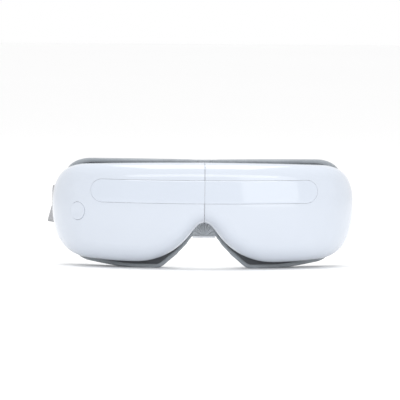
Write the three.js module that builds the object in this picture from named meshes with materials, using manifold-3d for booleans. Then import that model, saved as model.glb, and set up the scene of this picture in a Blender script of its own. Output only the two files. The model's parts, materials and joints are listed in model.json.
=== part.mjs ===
// Foldable eye massager mask, in millimetres, +Z up, front face towards -Y.
// The right half is the wearer's right, at -X. Both halves are built at +X and the right one is mirrored.
import * as THREE from 'three';
import { mergeVertices } from 'three/addons/utils/BufferGeometryUtils.js';
import Module from 'manifold-3d';

const wasm = await Module();
wasm.setup();

// Driving dimensions. Y is 0 at the front of the nose bridge here; the whole group is centred at the end.
const TOTAL_DEPTH = 178;
const HALF_WIDTH = 104.5;
const SEAM = 0.15;
const GAP = 0.3;
const WALL = 2;

// Front surface: a round plan, a slight crown from top to bottom, and edges that roll back.
const FRONT_RADIUS = 150;
const CROWN_RADIUS = 300;
const CROWN_Z = 42;
const EDGE_ROLL = 13;
const TEMPLE_ROLL = 20;
const TOP_ROLL = 9.5;

// Parting plane between the hard shell and the soft face side, deeper towards the temples.
const PART_Y = 20;
const PART_SWEEP = 44;

// Trim panel: a pill across both halves.
const PILL_TIP_X = 78;
const PILL_HALF = 8;
const PILL_Z = 53.4;
const PANEL_THICK = 1.6;

// Power button on the right half.
const BUTTON_X = 87;
const BUTTON_Z = 38.8;
const BUTTON_R = 6.1;
const BUTTON_PROUD = 0.25;

// Fold hinge: a vertical pin behind the nose bridge.
const HINGE_Y = 22;
const HINGE_R = 3.2;
const PIN_R = 1.2;
const FOLD_HALF = THREE.MathUtils.degToRad(50);
const SOFT_EDGE_X = 3.9;

// Soft face side.
const PAD_BASE = 2.8;
const EYE = { x: 43, z: 38, rx: 24, rz: 17 };

// Strap and its lugs.
const LUG = { x: 99.5, y: 69 };
const RIGHT_STRAP_X = 103.5;
const LEFT_STRAP_X = 101;
const STRAP_STRAIGHT = [84, 112];
const STRAP_REAR_Y = 174.5;
const STRAP_Z = 41;
const STRAP_WIDTH = 26;
const STRAP_HALF_THICK = 1.2;

const COLOURS = {
  shell: [0xe9eef6, 0.18, 0],
  panel: [0xe2e9f4, 0.08, 0],
  dark: [0x3c4046, 0.6, 0],
  leather: [0x85898e, 0.62, 0],
  cloth: [0x6e7378, 0.9, 0],
  strap: [0xa4a7aa, 0.85, 0],
  steel: [0xb9bcc0, 0.3, 1],
  board: [0x1f5a3c, 0.5, 0],
  silicone: [0xd8d4cc, 0.6, 0],
  foil: [0xc77c3a, 0.4, 0.6],
  battery: [0x4a6fa5, 0.5, 0],
};

const mask = new THREE.Group();

function place(name, geometry, colour, side = 1) {
  const [hex, roughness, metalness] = COLOURS[colour];
  const material = new THREE.MeshStandardMaterial({ color: hex, roughness, metalness });
  const placed = side < 0 ? mirrored(geometry) : geometry;
  const mesh = new THREE.Mesh(placed, material);
  mesh.name = name;
  mask.add(mesh);
}

// Triangles from vertex positions and index triples.
function meshOf(points, faces) {
  const geometry = new THREE.BufferGeometry();
  const flat = points.flatMap((p) => [p.x, p.y, p.z]);
  geometry.setAttribute('position', new THREE.Float32BufferAttribute(flat, 3));
  geometry.setIndex(faces.flat());
  return outward(geometry);
}

function bare(geometry) {
  const copy = geometry.clone();
  copy.deleteAttribute('normal');
  copy.deleteAttribute('uv');
  return mergeVertices(copy, 1e-4);
}

function signedVolume(geometry) {
  const position = geometry.getAttribute('position');
  const index = geometry.getIndex();
  const [a, b, c] = [new THREE.Vector3(), new THREE.Vector3(), new THREE.Vector3()];
  let sum = 0;
  for (let i = 0; i < index.count; i += 3) {
    a.fromBufferAttribute(position, index.getX(i));
    b.fromBufferAttribute(position, index.getX(i + 1));
    c.fromBufferAttribute(position, index.getX(i + 2));
    sum += a.dot(b.cross(c));
  }
  return sum;
}

function flipped(geometry) {
  const index = geometry.getIndex();
  for (let i = 0; i < index.count; i += 3) {
    const first = index.getX(i);
    index.setX(i, index.getX(i + 1));
    index.setX(i + 1, first);
  }
  return geometry;
}

function outward(geometry) {
  return signedVolume(geometry) < 0 ? flipped(geometry) : geometry;
}

function mirrored(geometry) {
  return flipped(bare(geometry).scale(-1, 1, 1));
}

function solid(geometry) {
  const merged = bare(geometry);
  const vertProperties = new Float32Array(merged.getAttribute('position').array);
  const triVerts = new Uint32Array(merged.getIndex().array);
  return new wasm.Manifold(new wasm.Mesh({ numProp: 3, vertProperties, triVerts }));
}

function geometryOf(manifold) {
  const { vertProperties, triVerts } = manifold.getMesh();
  const geometry = new THREE.BufferGeometry();
  geometry.setAttribute('position', new THREE.Float32BufferAttribute(vertProperties, 3));
  geometry.setIndex(Array.from(triVerts));
  return geometry;
}

function joined(...geometries) {
  return geometryOf(geometries.map(solid).reduce((a, b) => a.add(b)));
}

function cut(geometry, ...tools) {
  return geometryOf(tools.map(solid).reduce((a, b) => a.subtract(b), solid(geometry)));
}

// A box between two corners.
function box(low, high) {
  const size = high.map((v, i) => v - low[i]);
  const centre = high.map((v, i) => (v + low[i]) / 2);
  return new THREE.BoxGeometry(...size).translate(...centre);
}

// A round bar between two heights, or along any direction from a point.
function post(x, y, low, high, radius, sides = 20) {
  const bar = new THREE.CylinderGeometry(radius, radius, high - low, sides);
  return bar.rotateX(Math.PI / 2).translate(x, y, (low + high) / 2);
}

function bar(start, direction, length, radius, sides = 20) {
  const turn = new THREE.Quaternion().setFromUnitVectors(new THREE.Vector3(0, 1, 0), direction);
  const geometry = new THREE.CylinderGeometry(radius, radius, length, sides);
  const middle = start.clone().addScaledVector(direction, length / 2);
  return geometry.applyQuaternion(turn).translate(middle.x, middle.y, middle.z);
}

// Skin a list of sections, each a list of points; closed joins the last section to the first.
function loft(sections, closed) {
  const width = sections[0].length;
  const points = sections.flat();
  const faces = [];
  const last = closed ? sections.length : sections.length - 1;
  for (let i = 0; i < last; i += 1) {
    const here = i * width;
    const next = ((i + 1) % sections.length) * width;
    for (let j = 0; j < width; j += 1) {
      const k = (j + 1) % width;
      faces.push([here + j, next + j, next + k], [here + j, next + k, here + k]);
    }
  }
  if (!closed) {
    for (const start of [0, last * width]) {
      for (let j = 0; j < width / 2 - 1; j += 1) {
        const quad = [start + j, start + j + 1, start + width - 2 - j, start + width - 1 - j];
        const [a, b, c, d] = start ? quad.reverse() : quad;
        faces.push([a, b, c], [a, c, d]);
      }
    }
  }
  return meshOf(points, faces);
}

// Front and parting surfaces.
function frontY(x, z) {
  const plan = FRONT_RADIUS - Math.sqrt(FRONT_RADIUS ** 2 - x ** 2);
  return plan + (z - CROWN_Z) ** 2 / (2 * CROWN_RADIUS);
}

function frontSlope(x) {
  return x / Math.sqrt(FRONT_RADIUS ** 2 - x ** 2);
}

function partY(x) {
  return PART_Y + PART_SWEEP * (x / HALF_WIDTH) ** 2;
}

// Front-view outlines as chains of curves in (x, z), from the seam's top round the temple to the notch.
function bezier(...c) {
  const p = (i) => new THREE.Vector2(c[i], c[i + 1]);
  return new THREE.CubicBezierCurve(p(0), p(2), p(4), p(6));
}

function line(...c) {
  return new THREE.LineCurve(new THREE.Vector2(c[0], c[1]), new THREE.Vector2(c[2], c[3]));
}

const SHELL_OUTLINE = [
  [bezier(SEAM, 73, 30, 73, 56, 72.2, 80, 71), 5],
  [bezier(80, 71, 97, 70.2, 104.5, 60.5, 104.5, 42), 7],
  [bezier(104.5, 42, 104.5, 22, 99, 8.4, 80, 6.2), 7],
  [bezier(80, 6.2, 70, 5, 60, 4.6, 48, 4.6), 3],
  [bezier(48, 4.6, 31, 4.6, 18, 12.6, 9.5, 24), 6],
  [bezier(9.5, 24, 6, 28.7, 3, 31.8, SEAM, 31.8), 3],
];

const PAD_OUTLINE = [
  [bezier(SOFT_EDGE_X, 74.7, 30, 74.7, 56, 74.6, 78, 74.2), 6],
  [bezier(78, 74.2, 87, 73.8, 94.5, 69.5, 95.3, 62), 5],
  [bezier(95.3, 62, 95.5, 58, 94.5, 55, 94.5, 50), 3],
  [bezier(94.5, 50, 94.5, 24, 93, 5.6, 78, 3.6), 8],
  [bezier(78, 3.6, 67, 1.8, 58, 0, 48, 0), 4],
  [line(48, 0, 31.5, 0), 2],
  [bezier(31.5, 0, 28, 0.6, 25, 4.5, 21, 7.6), 3],
  [bezier(21, 7.6, 16.5, 11, 9, 18.5, 6.8, 22.6), 4],
  [bezier(6.8, 22.6, 5.4, 25.5, 4.4, 31, SOFT_EDGE_X, 36), 3],
  [line(SOFT_EDGE_X, 36, SOFT_EDGE_X, 74.7), 5],
];

// Points with inward normals along an outline; the last point is kept unless the outline is a ring.
function stations(outline, ring) {
  const found = [];
  outline.forEach(([curve, steps], part) => {
    const final = !ring && part === outline.length - 1;
    for (let i = 0; i < steps + (final ? 1 : 0); i += 1) {
      const point = curve.getPoint(i / steps);
      const along = curve.getTangent(i / steps);
      found.push({ x: point.x, z: point.y, nx: along.y, nz: -along.x, part });
    }
  });
  return found;
}

// How far the front rolls back at an edge, and where that roll meets the face.
function edgeRoll({ nx, nz }) {
  const temple = (TEMPLE_ROLL - EDGE_ROLL) * Math.max(0, -nx) ** 2;
  return EDGE_ROLL + temple - (EDGE_ROLL - TOP_ROLL) * Math.max(0, -nz) ** 2;
}

function rollEndX(station) {
  return station.x + station.nx * edgeRoll(station);
}

// Front shell of one half, with a window for the trim panel.
function pillPoint(station, index, corner) {
  const flat = PILL_TIP_X - PILL_HALF;
  if (station.part === 0) return [(flat * station.x) / 80, PILL_Z + PILL_HALF];
  if (station.part > 2) return [(flat * rollEndX(station)) / corner.lowX, PILL_Z - PILL_HALF];
  const turn = (Math.PI * (index - corner.first)) / corner.steps;
  return [flat + PILL_HALF * Math.sin(turn), PILL_Z + PILL_HALF * Math.cos(turn)];
}

function shellSection(station, index, corner) {
  const roll = edgeRoll(station);
  const outer = [new THREE.Vector3(station.x, partY(station.x), station.z)];
  const inX = station.x + station.nx * WALL;
  const inner = [new THREE.Vector3(inX, partY(station.x), station.z + station.nz * WALL)];
  const add = (x, z, back, lean) => {
    const y = frontY(x, z) + back;
    outer.push(new THREE.Vector3(x, y, z));
    const slope = frontSlope(x);
    const tilt = (Math.cos(lean) * WALL) / Math.hypot(1, slope);
    const side = Math.sin(lean) * WALL;
    const dx = station.nx * side - tilt * slope;
    inner.push(new THREE.Vector3(x + dx, y + tilt, z + station.nz * side));
  };
  const rollSteps = 4;
  for (let i = 0; i <= rollSteps; i += 1) {
    const lean = (Math.PI / 2) * (1 - i / rollSteps);
    const inset = roll * (1 - Math.sin(lean));
    add(station.x + station.nx * inset, station.z + station.nz * inset, roll * (1 - Math.cos(lean)), lean);
  }
  const [pillX, pillZ] = pillPoint(station, index, corner);
  const fromX = station.x + station.nx * roll;
  const fromZ = station.z + station.nz * roll;
  const bandSteps = 2;
  for (let i = 1; i <= bandSteps; i += 1) {
    const share = i / bandSteps;
    add(THREE.MathUtils.lerp(fromX, pillX, share), THREE.MathUtils.lerp(fromZ, pillZ, share), 0, 0);
  }
  return [...outer, ...inner.reverse()];
}

function shellBody() {
  const list = stations(SHELL_OUTLINE, false);
  const first = list.findIndex((s) => s.part === 1);
  const last = list.findIndex((s) => s.part === 3);
  const corner = { first, steps: last - first, lowX: rollEndX(list[last]) };
  return loft(list.map((s, i) => shellSection(s, i, corner)), false);
}

// Screws through the rear frame, each with its boss: radius, and how far behind the front face it starts.
const FRAME_SCREWS = [
  { x: 30, z: 64.5, boss: 2.6, behind: 1.8 },
  { x: 84, z: 56, boss: 3, behind: 3.2 },
  { x: 58, z: 15, boss: 3, behind: 3.2 },
];

function boss({ x, z, boss: radius, behind }) {
  const start = new THREE.Vector3(x, frontY(x, z) + behind, z);
  const length = partY(x - radius) - 2.7 - start.y;
  return bar(start, new THREE.Vector3(0, 1, 0), length, radius, 16);
}

function screwHole({ x, z }, radius, low, high) {
  return bar(new THREE.Vector3(x, low, z), new THREE.Vector3(0, 1, 0), high - low, radius, 16);
}

function frontShell(cutters) {
  const body = joined(shellBody(), ...FRAME_SCREWS.map(boss));
  const holes = FRAME_SCREWS.map((s) => screwHole(s, 1.2, partY(s.x) - 9, partY(s.x)));
  return cut(body, ...holes, ...cutters);
}

// Half of the pill-shaped trim panel.
function trimPanel() {
  const flat = PILL_TIP_X - PILL_HALF;
  const half = PILL_HALF - GAP - 0.05;
  const spots = [];
  for (let i = 0; i <= 8; i += 1) spots.push([SEAM + ((flat - SEAM) * i) / 8, half]);
  for (let i = 1; i <= 6; i += 1) {
    const turn = THREE.MathUtils.degToRad(14 * i);
    spots.push([flat + half * Math.sin(turn), half * Math.cos(turn)]);
  }
  return loft(spots.map(([x, reach]) => {
    const outer = [];
    const inner = [];
    for (let j = 0; j <= 4; j += 1) {
      const z = PILL_Z + reach * (j / 2 - 1);
      const y = frontY(x, z);
      outer.push(new THREE.Vector3(x, y, z));
      const depth = PANEL_THICK / Math.hypot(1, frontSlope(x));
      inner.push(new THREE.Vector3(Math.max(SEAM, x - depth * frontSlope(x)), y + depth, z));
    }
    return [...outer, ...inner.reverse()];
  }), false);
}

// A ring plate between an outline and an elliptical hole, following the parting surface.
function ringPlate(outline, inset, least, hole, front, back) {
  return loft(stations(outline, true).map((s) => {
    const x = Math.max(s.x + s.nx * inset, least);
    const z = s.z + s.nz * inset;
    const turn = Math.atan2((z - hole.z) / hole.rz, (x - hole.x) / hole.rx);
    const holeX = hole.x + hole.rx * Math.cos(turn);
    const holeZ = hole.z + hole.rz * Math.sin(turn);
    const layer = (offset) => [0, 0.5, 1].map((share) => {
      const px = THREE.MathUtils.lerp(x, holeX, share);
      return new THREE.Vector3(px, partY(px) + offset, THREE.MathUtils.lerp(z, holeZ, share));
    });
    return [...layer(front), ...layer(back).reverse()];
  }), true);
}

const FRAME_OUTLINE = [...SHELL_OUTLINE, [line(SEAM, 36.8, SEAM, 68), 4]];

function rearFrame(notches) {
  const hole = { x: EYE.x, z: EYE.z, rx: 4, rz: 4 };
  const plate = ringPlate(FRAME_OUTLINE, WALL + 0.9, 6, hole, -2.3, -0.3);
  const holes = FRAME_SCREWS.map((s) => screwHole(s, 1.4, partY(s.x) - 5, partY(s.x) + 2));
  return cut(plate, ...holes, ...notches);
}

const SCREW_HEAD_R = 2;
const SCREW_HEAD = 1.2;

function screwSeat(spot) {
  return partY(spot.x + SCREW_HEAD_R) + 0.3;
}

function frameScrew(spot) {
  const seat = screwSeat(spot);
  return joined(
    screwHole(spot, 0.9, seat - 7.5, seat + 0.5),
    screwHole(spot, SCREW_HEAD_R, seat, seat + SCREW_HEAD),
  );
}

// Room for the screw heads in the layers behind the rear frame.
function headPockets() {
  return FRAME_SCREWS.map((s) => screwHole(s, SCREW_HEAD_R + 0.6, partY(s.x) - 3, screwSeat(s) + SCREW_HEAD + 0.4));
}

// Soft pad round one eye. Its nose side leans away from the seam, so that the halves can fold.
function foldClear(x, y) {
  const edge = SOFT_EDGE_X + Math.max(0, y - HINGE_Y) * Math.tan(FOLD_HALF);
  const noseSide = EYE.x - EYE.rx;
  if (x >= noseSide) return x;
  return edge + ((x - SOFT_EDGE_X) * (noseSide - edge)) / (noseSide - SOFT_EDGE_X);
}

function padThickness(x) {
  return 8 + 4 * THREE.MathUtils.smoothstep(x, SOFT_EDGE_X, 30) + 2 * (x / 100) ** 2;
}

function padBody() {
  const profile = [
    [0, 0], [0, 0.68], [0.1, 0.92], [0.34, 1], [0.66, 1], [0.9, 0.84], [1, 0.5], [1, 0], [0.5, 0],
  ];
  return loft(stations(PAD_OUTLINE, true).map((s) => {
    const turn = Math.atan2((s.z - EYE.z) / EYE.rz, (s.x - EYE.x) / EYE.rx);
    const holeX = EYE.x + EYE.rx * Math.cos(turn);
    const holeZ = EYE.z + EYE.rz * Math.sin(turn);
    return profile.map(([share, height]) => {
      const x = THREE.MathUtils.lerp(s.x, holeX, share);
      const z = THREE.MathUtils.lerp(s.z, holeZ, share);
      const y = partY(x) + PAD_BASE + height * padThickness(x);
      return new THREE.Vector3(foldClear(x, y), y, z);
    });
  }), true);
}

// A flattened round cushion that follows the parting surface, from one offset to another behind it.
function eyeLens(margin, front, back, rings = 6) {
  const geometry = bare(new THREE.SphereGeometry(1, 24, rings));
  const position = geometry.getAttribute('position');
  for (let i = 0; i < position.count; i += 1) {
    const x = EYE.x + (EYE.rx - margin) * position.getX(i);
    const y = partY(x) + (front + back) / 2 + ((back - front) / 2) * position.getY(i);
    position.setXYZ(i, x, y, EYE.z + (EYE.rz - margin) * position.getZ(i));
  }
  return outward(geometry);
}

// Hinge leaf with its knuckles and the bore for the pin.
function hingeLeaf(knuckles) {
  const plate = box([4, 20.9, 42], [14, 22.4, 66]);
  const rounds = knuckles.map(([low, high]) => post(0, HINGE_Y, low, high, HINGE_R));
  const tabs = knuckles.map(([low, high]) => box([0.5, 20.9, low], [4.5, 22.4, high]));
  const whole = joined(plate, ...rounds, ...tabs);
  return cut(whole, post(0, HINGE_Y, 30, 80, PIN_R + 0.1));
}

// A soft sheet across the hinge, from one plan half-width at the front to another at the back.
function bridge(low, high, y0, half0, y1, half1) {
  const shape = new THREE.Shape([
    new THREE.Vector2(-half0, y0),
    new THREE.Vector2(half0, y0),
    new THREE.Vector2(half1, y1),
    new THREE.Vector2(-half1, y1),
  ]);
  return new THREE.ExtrudeGeometry(shape, { depth: high - low, bevelEnabled: false }).translate(0, 0, low);
}

// Arched nose flap under the bridge.
function noseFlap() {
  const hemZ = 21.9;
  const half = 7.4;
  const rise = 13.5;
  const shape = new THREE.Shape();
  shape.moveTo(-half, hemZ);
  shape.lineTo(half, hemZ);
  shape.absellipse(0, hemZ, half, rise, 0, Math.PI, false, 0);
  const flap = new THREE.ExtrudeGeometry(shape, { depth: 2.4, bevelEnabled: false, curveSegments: 16 });
  return flap.rotateX(Math.PI / 2).translate(0, 26, 0).clone();
}

// Strap tail in plan: an eye round the lug's pin, a straight stretch, and a curve to the back of the head.
function strapTail(endX, sideX) {
  const [nearY, farY] = STRAP_STRAIGHT;
  const v = (x, y) => new THREE.Vector2(x, y);
  const start = new THREE.CubicBezierCurve(
    v(LUG.x + 2.1, LUG.y + 0.5), v(sideX, LUG.y + 4), v(sideX, nearY - 8), v(sideX, nearY));
  const sweep = new THREE.CubicBezierCurve(
    v(sideX, farY), v(sideX, 150), v(64, STRAP_REAR_Y), v(endX + 14, STRAP_REAR_Y));
  const route = [
    ...start.getPoints(5),
    ...sweep.getPoints(16),
    v(endX, STRAP_REAR_Y),
  ];
  const sideLine = (sign) => route.map((p, i) => {
    const before = route[Math.max(0, i - 1)];
    const after = route[Math.min(route.length - 1, i + 1)];
    const along = after.clone().sub(before).normalize();
    return v(p.x + sign * STRAP_HALF_THICK * along.y, p.y - sign * STRAP_HALF_THICK * along.x);
  });
  const low = STRAP_Z - STRAP_WIDTH / 2;
  const band = new THREE.ExtrudeGeometry(
    new THREE.Shape([...sideLine(1), ...sideLine(-1).reverse()]),
    { depth: STRAP_WIDTH, bevelEnabled: false },
  ).translate(0, 0, low);
  const eye = post(LUG.x, LUG.y, low, low + STRAP_WIDTH, 3.2);
  return cut(joined(band, eye), post(LUG.x, LUG.y, low - 1, low + STRAP_WIDTH + 1, 1.8));
}

// Lug bracket behind the shell's temple end.
function strapLug() {
  const low = STRAP_Z - 16;
  const high = STRAP_Z + 16;
  const plate = box([95.6, 62.7, low], [100.6, 64.7, high]);
  const ears = [low, high - 2].map((z) => box([96.4, 64.2, z], [102.4, 72.6, z + 2]));
  const whole = joined(plate, ...ears);
  return cut(whole, post(LUG.x, LUG.y, low - 1, high + 1, 1.6));
}

// Outer surface point and inward direction at the power button.
function buttonFrame() {
  const inset = HALF_WIDTH - BUTTON_X;
  const lean = Math.asin(1 - inset / TEMPLE_ROLL);
  const slope = frontSlope(BUTTON_X) + Math.tan(lean);
  const y = frontY(BUTTON_X, BUTTON_Z) + TEMPLE_ROLL * (1 - Math.cos(lean));
  const inward = new THREE.Vector3(-slope, 1, 0).normalize();
  return { centre: new THREE.Vector3(BUTTON_X, y, BUTTON_Z), inward };
}

const BUTTON = buttonFrame();

function buttonDisc(depth, length, radius, sides = 24) {
  const start = BUTTON.centre.clone().addScaledVector(BUTTON.inward, depth);
  return bar(start, BUTTON.inward, length, radius, sides);
}

function powerButton() {
  return joined(
    buttonDisc(-BUTTON_PROUD, 4.6, BUTTON_R),
    buttonDisc(3.9, 1, BUTTON_R + 1.2),
    buttonDisc(4.5, 2.7, 2, 12),
  );
}

function socketSlot(halfX, halfY, low, high) {
  const shape = new THREE.Shape();
  shape.absarc(-(halfX - halfY), 0, halfY, Math.PI / 2, Math.PI * 1.5, false);
  shape.absarc(halfX - halfY, 0, halfY, -Math.PI / 2, Math.PI / 2, false);
  const options = { depth: high - low, bevelEnabled: false, curveSegments: 10 };
  return new THREE.ExtrudeGeometry(shape, options).translate(68, 34.5, low);
}

// Hard and soft pieces that both halves have.
for (const [half, side] of [['right', -1], ['left', 1]]) {
  const buttonHole = buttonDisc(-8, 14, BUTTON_R + GAP);
  const socketHole = socketSlot(5.2, 2.4, 2, 12);
  place(`${half}_front_shell`, frontShell(side < 0 ? [buttonHole, socketHole] : []), 'shell', side);
  place(`${half}_trim_panel`, trimPanel(), 'panel', side);
  place(`${half}_rear_frame`, rearFrame(side < 0 ? [box([60, 26, 4], [76, 44, 18.4])] : []), 'dark', side);
  FRAME_SCREWS.forEach((spot, i) => {
    place(`${half}_frame_screw_${i + 1}`, frameScrew(spot), 'steel', side);
  });
  const carrierHole = { x: EYE.x, z: EYE.z, rx: EYE.rx + 3, rz: EYE.rz + 3 };
  const carrier = ringPlate(PAD_OUTLINE, 2.6, 15.5, carrierHole, 1.1, 2.5);
  place(`${half}_pad_carrier`, cut(carrier, ...headPockets()), 'dark', side);
  place(`${half}_face_pad`, cut(padBody(), ...headPockets()), 'leather', side);
  place(`${half}_air_bag`, eyeLens(2, 0.2, 2.9), 'silicone', side);
  place(`${half}_heating_film`, eyeLens(1.5, 3.2, 3.9), 'foil', side);
  place(`${half}_eye_cushion`, eyeLens(0.8, 4.2, 9), 'cloth', side);
  place(`${half}_vibration_motor`, joined(post(72, 30, 16, 28, 3.6), post(72, 30, 27, 33.4, 0.6, 12)), 'steel', side);
  const weight = cut(post(72, 30, 29, 33, 3.8), box([60, 30.9, 20], [80, 40, 40]), post(72, 30, 28, 34, 0.7, 12));
  place(`${half}_motor_weight`, weight, 'steel', side);
  place(`${half}_strap_lug`, strapLug(), 'dark', side);
  const pinEnds = [STRAP_Z - 16.4, STRAP_Z + 16.4];
  place(`${half}_lug_pin`, post(LUG.x, LUG.y, ...pinEnds, 1.4), 'steel', side);
}

// Pieces of the right half only: pump, valve, board, button and charging socket.
place('main_circuit_board', box([16, 12.2, 26], [46, 13.4, 58]), 'board', -1);
place('air_pump', joined(post(58, 23.5, 24, 42, 6), post(58, 23.5, 41, 52, 5)), 'steel', -1);
place('air_valve', joined(box([71, 28, 47], [80, 35.5, 58]), post(75.5, 31.5, 57, 61, 1.6)), 'dark', -1);
place('power_button', powerButton(), 'shell', -1);
place('button_switch', buttonDisc(8.3, 3, 3.4, 16), 'dark', -1);
const socketBody = cut(
  joined(socketSlot(4.9, 2.1, 7, 16), box([61.5, 30.5, 14], [74.5, 35.8, 15.6])),
  socketSlot(4.2, 1.3, 5, 13),
);
place('charging_socket', socketBody, 'steel', -1);

// Piece of the left half only: the battery.
place('battery', box([16, 10.8, 24], [45, 17.2, 58]), 'battery');

// Fold hinge and what crosses it.
place('right_hinge_leaf', hingeLeaf([[40, 47], [61, 68]]), 'steel', -1);
place('left_hinge_leaf', hingeLeaf([[47.3, 60.7]]), 'steel');
place('hinge_pin', post(0, HINGE_Y, 39.4, 68.6, PIN_R), 'steel');
place('hinge_cable', box([-14, 15.2, 50], [14, 15.8, 57]), 'foil');
place('cross_hose', box([-14, 12.6, 42], [14, 15, 44.4]), 'silicone');
place('nose_flap', noseFlap(), 'leather');
const gussetFront = 25.7;
const gussetBack = 31;
const gussetHalf = (y) => SOFT_EDGE_X + (y - HINGE_Y) * Math.tan(FOLD_HALF) - 0.5;
place('bridge_gusset', bridge(
  36.6, 74.7, gussetFront, gussetHalf(gussetFront), gussetBack, gussetHalf(gussetBack)), 'leather');

// Strap: two tails, an adjusting slider and a clasp at the back of the head.
const strapLow = STRAP_Z - STRAP_WIDTH / 2;
const strapHigh = STRAP_Z + STRAP_WIDTH / 2;
place('right_strap', strapTail(5, RIGHT_STRAP_X), 'strap', -1);
place('left_strap', strapTail(5, LEFT_STRAP_X), 'strap');

function sleeve(low, high, axis) {
  const clear = 0.4;
  const slot = axis === 'y'
    ? box(
      [LEFT_STRAP_X - STRAP_HALF_THICK - clear, low[1] - 1, strapLow - clear],
      [LEFT_STRAP_X + STRAP_HALF_THICK + clear, high[1] + 1, strapHigh + clear])
    : box(
      [low[0] + 2.4, STRAP_REAR_Y - STRAP_HALF_THICK - clear, strapLow - clear],
      [high[0] + 1, STRAP_REAR_Y + STRAP_HALF_THICK + clear, strapHigh + clear]);
  return cut(box(low, high), slot);
}

const sliderLow = [LEFT_STRAP_X - 2.7, 86, strapLow - 2.2];
const sliderHigh = [LEFT_STRAP_X + 2.7, 94, strapHigh + 2.2];
place('strap_slider', sleeve(sliderLow, sliderHigh, 'y'), 'dark');
const claspLow = [0.3, STRAP_REAR_Y - 3.4, strapLow - 2.2];
const claspHigh = [16, STRAP_REAR_Y + 3.4, strapHigh + 2.2];
place('right_clasp', sleeve(claspLow, claspHigh, 'x'), 'dark', -1);
place('left_clasp', sleeve(claspLow, claspHigh, 'x'), 'dark');

mask.position.y = -TOTAL_DEPTH / 2;

export default mask;
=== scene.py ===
import json
import math

import bpy
from mathutils import Matrix, Vector
from mathutils.bvhtree import BVHTree
from mathutils.kdtree import KDTree


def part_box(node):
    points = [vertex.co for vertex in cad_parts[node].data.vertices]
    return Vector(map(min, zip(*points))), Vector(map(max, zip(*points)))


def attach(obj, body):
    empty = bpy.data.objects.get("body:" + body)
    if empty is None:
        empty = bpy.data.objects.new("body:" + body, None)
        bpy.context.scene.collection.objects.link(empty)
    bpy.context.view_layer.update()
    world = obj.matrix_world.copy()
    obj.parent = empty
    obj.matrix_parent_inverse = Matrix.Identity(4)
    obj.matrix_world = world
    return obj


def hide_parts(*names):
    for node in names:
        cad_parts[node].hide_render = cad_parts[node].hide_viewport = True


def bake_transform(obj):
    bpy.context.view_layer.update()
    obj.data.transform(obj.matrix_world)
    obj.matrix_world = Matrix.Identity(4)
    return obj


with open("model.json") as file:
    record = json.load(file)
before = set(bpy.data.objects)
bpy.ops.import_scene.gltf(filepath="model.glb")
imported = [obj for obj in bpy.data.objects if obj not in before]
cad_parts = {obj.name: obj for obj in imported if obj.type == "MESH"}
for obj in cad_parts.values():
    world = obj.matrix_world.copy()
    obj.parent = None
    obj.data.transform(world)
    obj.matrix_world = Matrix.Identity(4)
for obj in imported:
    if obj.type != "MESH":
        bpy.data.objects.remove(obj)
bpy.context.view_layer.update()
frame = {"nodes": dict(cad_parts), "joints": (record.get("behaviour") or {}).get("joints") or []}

MM = 0.001

# Lengths are millimetres unless a name says otherwise; y is counted back from the front of the nose bridge.
JOINTS = {joint["name"]: joint for joint in frame["joints"]}
HINGE_BACK = 22
FRONT = JOINTS["fold"]["pos_m"][1] - HINGE_BACK * MM

# Shell: round plan, slight crown, rolled edges, and the parting surface behind it.
HALF_WIDTH = 104.5
SEAM = 0.15
WALL = 2.0
FRONT_RADIUS = 150
CROWN_RADIUS = 300
CROWN_Z = 42
EDGE_ROLL = 13
TEMPLE_ROLL = 20
TOP_ROLL = 9.5
PART_BACK = 20
PART_SWEEP = 44

# Trim panel.
PILL_TIP = 78
PILL_HALF = 8
PILL_Z = 53.4
PANEL_THICK = 1.6
PANEL_GAP = 0.16
PANEL_SEAM = 0.08

# Power button.
BUTTON_X = 87
BUTTON_Z = 38.8
BUTTON_R = 6.1

# Soft face side.
PAD_BASE = 2.8
SOFT_EDGE = 3.9
FOLD_HALF = math.radians(50)
EYE_X, EYE_Z, EYE_RX, EYE_RZ = 43, 38, 24, 17

# Strap.
LUG_X, LUG_BACK = 99.5, 69
STRAP_SIDE = {"right": 103.8, "left": 101}
STRAP_STRAIGHT = (84, 112)
STRAP_REAR = 174.5
STRAP_Z = 41
STRAP_WIDTH = 26
STRAP_THICK = 1.9
SLOT_HALF = STRAP_WIDTH / 2 + 0.3
BUCKLE_HALF = STRAP_WIDTH / 2 + 2.2
LUG_HALF = STRAP_WIDTH / 2 + 3

SHELL_OUTLINE = [
    (SEAM, 73, 30, 73, 56, 72.2, 80, 71),
    (80, 71, 97, 70.2, 104.5, 60.5, 104.5, 42),
    (104.5, 42, 104.5, 22, 99, 8.4, 80, 6.2),
    (80, 6.2, 70, 5, 60, 4.6, 48, 4.6),
    (48, 4.6, 31, 4.6, 18, 12.6, 9.5, 24),
    (9.5, 24, 6, 28.7, 3, 31.8, SEAM, 31.8),
]
CORNER_X = SHELL_OUTLINE[1][0]
PAD_OUTLINE = [
    (SOFT_EDGE, 74.7, 30, 74.7, 56, 74.6, 78, 74.2),
    (78, 74.2, 87, 73.8, 94.5, 69.5, 95.3, 62),
    (95.3, 62, 95.5, 58, 94.5, 55, 94.5, 50),
    (94.5, 50, 94.5, 24, 93, 5.6, 78, 3.6),
    (78, 3.6, 67, 1.8, 58, 0, 48, 0),
    (48, 0, 42, 0, 37, 0, 31.5, 0),
    (31.5, 0, 28, 0.6, 25, 4.5, 21, 7.6),
    (21, 7.6, 16.5, 11, 9, 18.5, 6.8, 22.6),
    (6.8, 22.6, 5.4, 25.5, 4.4, 31, SOFT_EDGE, 36),
    (SOFT_EDGE, 36, SOFT_EDGE, 49, SOFT_EDGE, 62, SOFT_EDGE, 74.7),
]


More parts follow.
